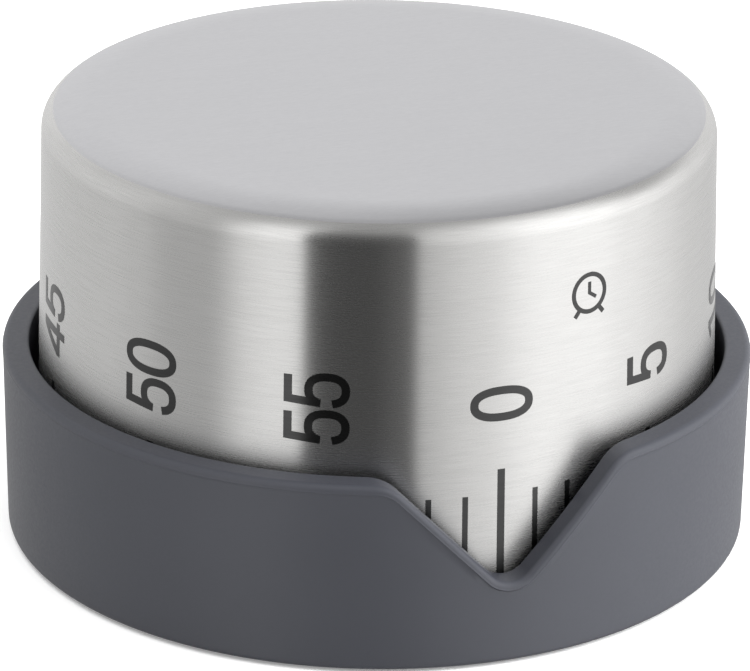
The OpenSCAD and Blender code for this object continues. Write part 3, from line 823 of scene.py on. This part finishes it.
def step(nodes, value, edge, soft):
    """0 below the edge and 1 above it, with a soft change between."""
    ramp = nodes.add("ShaderNodeMapRange", interpolation_type="SMOOTHSTEP")
    nodes.set(ramp, From_Min=edge - soft, From_Max=edge + soft, To_Min=0.0, To_Max=1.0)
    nodes.link(value, ramp.inputs["Value"])
    return ramp.outputs["Result"]


def band(nodes, value, low, low_soft, high, high_soft):
    """1 between the two edges and 0 outside them."""
    above = step(nodes, value, high, high_soft)
    return nodes.math("SUBTRACT", step(nodes, value, low, low_soft), above)


def fade(nodes, a, b, share):
    """From a to b as share goes from 0 to 1."""
    mix = nodes.add("ShaderNodeMix", data_type="FLOAT")
    nodes.link(share, mix.inputs["Factor"])
    for value, socket in ((a, mix.inputs["A"]), (b, mix.inputs["B"])):
        if isinstance(value, (int, float)):
            socket.default_value = value
        else:
            nodes.link(value, socket)
    return mix.outputs["Result"]


def make_world():
    """The light tent, which lights the timer and shows in its steel; the camera sees white."""
    world = bpy.data.worlds.new("tent")
    bpy.context.scene.world = world
    world.use_nodes = True
    nodes = Nodes(world.node_tree)
    background = world.node_tree.nodes["Background"]
    where = nodes.add("ShaderNodeTexCoord")
    turn = nodes.add("ShaderNodeMapping", vector_type="POINT")
    turn.inputs["Rotation"].default_value = (0, 0, -CAMERA_AZIMUTH)
    parts = nodes.add("ShaderNodeSeparateXYZ")
    nodes.link(where.outputs["Generated"], turn.inputs["Vector"])
    nodes.link(turn.outputs["Vector"], parts.inputs["Vector"])
    towards = nodes.math("MULTIPLY", parts.outputs["Y"], -1.0)
    degrees = math.degrees(1)
    azimuth = nodes.math("ARCTAN2", parts.outputs["X"], towards)
    azimuth = nodes.math("MULTIPLY", azimuth, degrees)
    elevation = nodes.math("ARCSINE", parts.outputs["Z"])
    elevation = nodes.math("MULTIPLY", elevation, degrees)
    behind = nodes.math("ABSOLUTE", azimuth)
    edge, soft, level = SIDES_FROM
    light = nodes.math("MULTIPLY", step(nodes, behind, edge, soft), level)
    for *edges, level in TENT_BANDS:
        part = nodes.math("MULTIPLY", band(nodes, azimuth, *edges), level)
        light = nodes.math("ADD", light, part)
    light = nodes.math("ADD", light, TENT)
    low, low_level, high, high_level = TENT_CLIMB
    climb = nodes.remap(elevation, low_level, high_level, low, high)
    light = nodes.math("MULTIPLY", light, climb)
    sides, heights, left = DARK_GAP
    gap = nodes.math("MULTIPLY", band(nodes, azimuth, *sides), band(nodes, elevation, *heights))
    sides, level = GAP_GLOW
    glow = nodes.math("MULTIPLY", band(nodes, azimuth, *sides), level)
    light = fade(nodes, light, nodes.math("ADD", glow, left), gap)
    for heights, sides, level in ROOFS:
        roof = nodes.math("MULTIPLY", step(nodes, elevation, *heights),
                          band(nodes, azimuth, *sides))
        light = fade(nodes, light, level, roof)
    around, heights, level = BACK_WALL
    wall = nodes.math("MULTIPLY", step(nodes, behind, *around), band(nodes, elevation, *heights))
    light = fade(nodes, light, level, wall)
    seen = nodes.add("ShaderNodeLightPath")
    light = fade(nodes, light, 1.0, seen.outputs["Is Camera Ray"])
    nodes.link(light, background.inputs["Strength"])
    background.inputs["Color"].default_value = (1, 1, 1, 1)


def make_floor():
    """A pale studio floor that the steel doesn't mirror."""
    half = STUDIO_HALF
    bm = bmesh.new()
    corners = [(-half, -half), (half, -half), (half, half), (-half, half)]
    bm.faces.new([bm.verts.new((x, y, 0)) for x, y in corners])
    material, nodes, shader = new_material("pale_floor")
    tone = nodes.stretched_noise([STUDIO_CLOUD] * 3, detail=2)
    nodes.link(nodes.mix(nodes.remap(tone, 0, 1), (0.9, 0.9, 0.9), (0.92, 0.92, 0.92)),
               shader.inputs["Base Color"])
    shader.inputs["Roughness"].default_value = 0.9
    shader.inputs["Specular IOR Level"].default_value = 0.1
    shader.inputs["Emission Color"].default_value = (1, 1, 1, 1)
    shader.inputs["Emission Strength"].default_value = STUDIO_GLOW
    floor = add_object("floor", bm, [material])
    floor.visible_glossy = False


def make_lamp(name, direction, distance, size, power):
    """A soft lamp that the steel doesn't mirror, aimed at the timer. Its direction is an azimuth
    from the camera's side and an elevation, in degrees; the rest is in metres and watts."""
    azimuth, elevation = (math.radians(a) for a in direction)
    back = outwards(CAMERA_AZIMUTH + azimuth, elevation)
    data = bpy.data.lights.new(name, "AREA")
    data.shape = "SQUARE"
    data.size = size
    data.energy = power
    lamp = bpy.data.objects.new(name, data)
    lamp.location = back * distance
    lamp.rotation_mode = "QUATERNION"
    lamp.rotation_quaternion = (-back).to_track_quat("-Z", "Y")
    lamp.visible_glossy = False
    lamp.visible_camera = False
    bpy.context.scene.collection.objects.link(lamp)


make_camera()
bpy.context.scene.view_settings.view_transform = "Standard"
materials = make_materials()
make_cap(materials["side"], materials["top"])
make_housing(materials["housing_plastic"])
make_pads(materials["pad_rubber"])
make_print(materials["print"])
dress_nodes(materials)
make_world()
make_floor()
make_lamp("overhead", (0, 88), distance=1.2, size=1.8, power=20)
make_lamp("key", (92, 22), distance=1.0, size=0.9, power=18)
